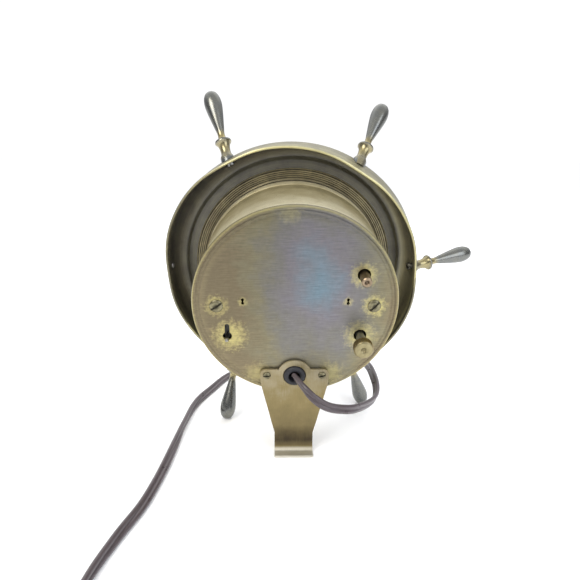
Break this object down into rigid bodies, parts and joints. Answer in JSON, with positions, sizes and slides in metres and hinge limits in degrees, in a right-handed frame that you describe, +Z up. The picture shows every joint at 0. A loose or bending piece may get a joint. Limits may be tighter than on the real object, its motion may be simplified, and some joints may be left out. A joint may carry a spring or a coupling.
{
  "type": "ship's deck clock",
  "caption": "Desk clock in a spun brass ship's-wheel rim with turned handles, a drum case, a rear leg, setting stems and a flat mains cord.",
  "frame": {"origin": "centre of the bounding box of the standing clock, without its cord, at the surface it stands on", "axes": "+Z up, the dial faces -Y and leans 10 degrees back, +X to the right as seen from the front"},
  "size_m": [0.2083, 0.3285, 0.2076],
  "materials": {
    "aged_brass": "satin spun brass dulled with age",
    "dark_brass": "brass tarnished dark, with turned lines",
    "patina_brass": "flat brass with a grey patina, yellow round the holes",
    "golden_brass": "brushed golden brass",
    "bright_brass": "bright brass",
    "nickel": "worn nickel plating on turned brass",
    "steel": "turned steel",
    "copper": "coppery brass",
    "black_rubber": "matt moulded rubber",
    "cord_vinyl": "glossy brown vinyl flat cord",
    "black_plastic": "moulded phenolic plastic",
    "glass": "clear domed glass",
    "dial_enamel": "cream painted metal",
    "hand_paint": "satin black paint",
    "alarm_paint": "red paint",
    "coil_wrap": "varnished cloth wrap"
  },
  "bodies": {
    "case": {"wheel_shell": "dark_brass", "case_drum": "aged_brass", "back_plate": "patina_brass", "bracket_leg": "golden_brass", "cord_grommet": "black_rubber", "case_post_left": "steel", "case_post_right": "steel", "plate_screw_left": "aged_brass", "plate_screw_right": "aged_brass", "bracket_screw_left": "aged_brass", "bracket_screw_right": "aged_brass", "handle_at_1": "nickel", "handle_at_11": "nickel", "handle_at_9": "nickel", "handle_at_7": "nickel", "handle_at_5": "nickel", "handle_screw_at_1": "steel", "handle_screw_at_11": "steel", "handle_screw_at_9": "steel", "handle_screw_at_7": "steel", "handle_screw_at_5": "steel", "bezel_ring": "bright_brass", "dial_ring": "bright_brass", "crystal": "glass", "dial_plate": "dial_enamel", "movement_back_plate": "bright_brass", "movement_front_plate": "bright_brass", "movement_pillar_1": "bright_brass", "movement_pillar_2": "bright_brass", "movement_pillar_3": "bright_brass", "movement_pillar_4": "bright_brass", "rotor_bridge": "bright_brass", "motor_core": "steel", "buzzer_reed": "steel", "motor_coil": "coil_wrap", "cord_lead": "cord_vinyl", "cord_coil": "cord_vinyl", "cord_tail": "cord_vinyl", "plug_body": "black_plastic", "plug_blade_left": "bright_brass", "plug_blade_right": "bright_brass"},
    "seconds": {"seconds_arbor": "steel", "seconds_wheel": "bright_brass", "seconds_hand": "hand_paint"},
    "motor_rotor": {"rotor": "steel"},
    "minute": {"minute_arbor": "steel", "setting_wheel": "bright_brass", "minute_hand": "hand_paint"},
    "motion": {"motion_wheel": "bright_brass"},
    "hour": {"hour_wheel": "bright_brass", "hour_hand": "hand_paint"},
    "alarm_time": {"alarm_wheel": "bright_brass", "alarm_hand": "alarm_paint"},
    "hand_setting": {"hand_set_stem": "steel", "hand_set_knob": "aged_brass", "hand_set_gear": "bright_brass"},
    "alarm_setting": {"alarm_set_stem": "copper", "alarm_set_gear": "bright_brass"},
    "alarm_switch": {"alarm_lever": "steel"}
  },
  "joints": [
    {"name": "seconds_turn", "type": "hinge", "parent": "case", "child": "seconds", "pos_m": [0.01998, 0.03309, 0.09598], "axis": [0, 0.9848, -0.1736], "continuous": true},
    {"name": "rotor_turn", "type": "hinge", "parent": "case", "child": "motor_rotor", "pos_m": [0.03526, 0.03043, 0.08094], "axis": [0, 0.9848, -0.1736], "continuous": true},
    {"name": "minute_turn", "type": "hinge", "parent": "case", "child": "minute", "pos_m": [0.01998, 0.03309, 0.09598], "axis": [0, 0.9848, -0.1736], "continuous": true},
    {"name": "motion_turn", "type": "hinge", "parent": "case", "child": "motion", "pos_m": [0.01998, 0.03517, 0.1078], "axis": [0, 0.9848, -0.1736], "continuous": true},
    {"name": "hour_turn", "type": "hinge", "parent": "case", "child": "hour", "pos_m": [0.01998, 0.03309, 0.09598], "axis": [0, 0.9848, -0.1736], "continuous": true},
    {"name": "alarm_turn", "type": "hinge", "parent": "case", "child": "alarm_time", "pos_m": [0.01998, 0.03309, 0.09598], "axis": [0, 0.9848, -0.1736], "continuous": true},
    {"name": "hand_set_turn", "type": "hinge", "parent": "case", "child": "hand_setting", "pos_m": [-0.01552, 0.02996, 0.07825], "axis": [0, 0.9848, -0.1736], "continuous": true},
    {"name": "alarm_set_turn", "type": "hinge", "parent": "case", "child": "alarm_setting", "pos_m": [-0.01552, 0.03621, 0.11371], "axis": [0, 0.9848, -0.1736], "continuous": true},
    {"name": "alarm_switch_slide", "type": "slide", "parent": "case", "child": "alarm_switch", "axis": [0, 0.1736, 0.9848], "range_m": [0, 0.005]}
  ],
  "couplings": [
    {"joint": "rotor_turn", "follows": "seconds_turn", "ratio": -4},
    {"joint": "motion_turn", "follows": "minute_turn", "ratio": -0.33333},
    {"joint": "hour_turn", "follows": "minute_turn", "ratio": 0.083333},
    {"joint": "hand_set_turn", "follows": "minute_turn", "ratio": -3},
    {"joint": "alarm_set_turn", "follows": "alarm_turn", "ratio": -3}
  ]
}
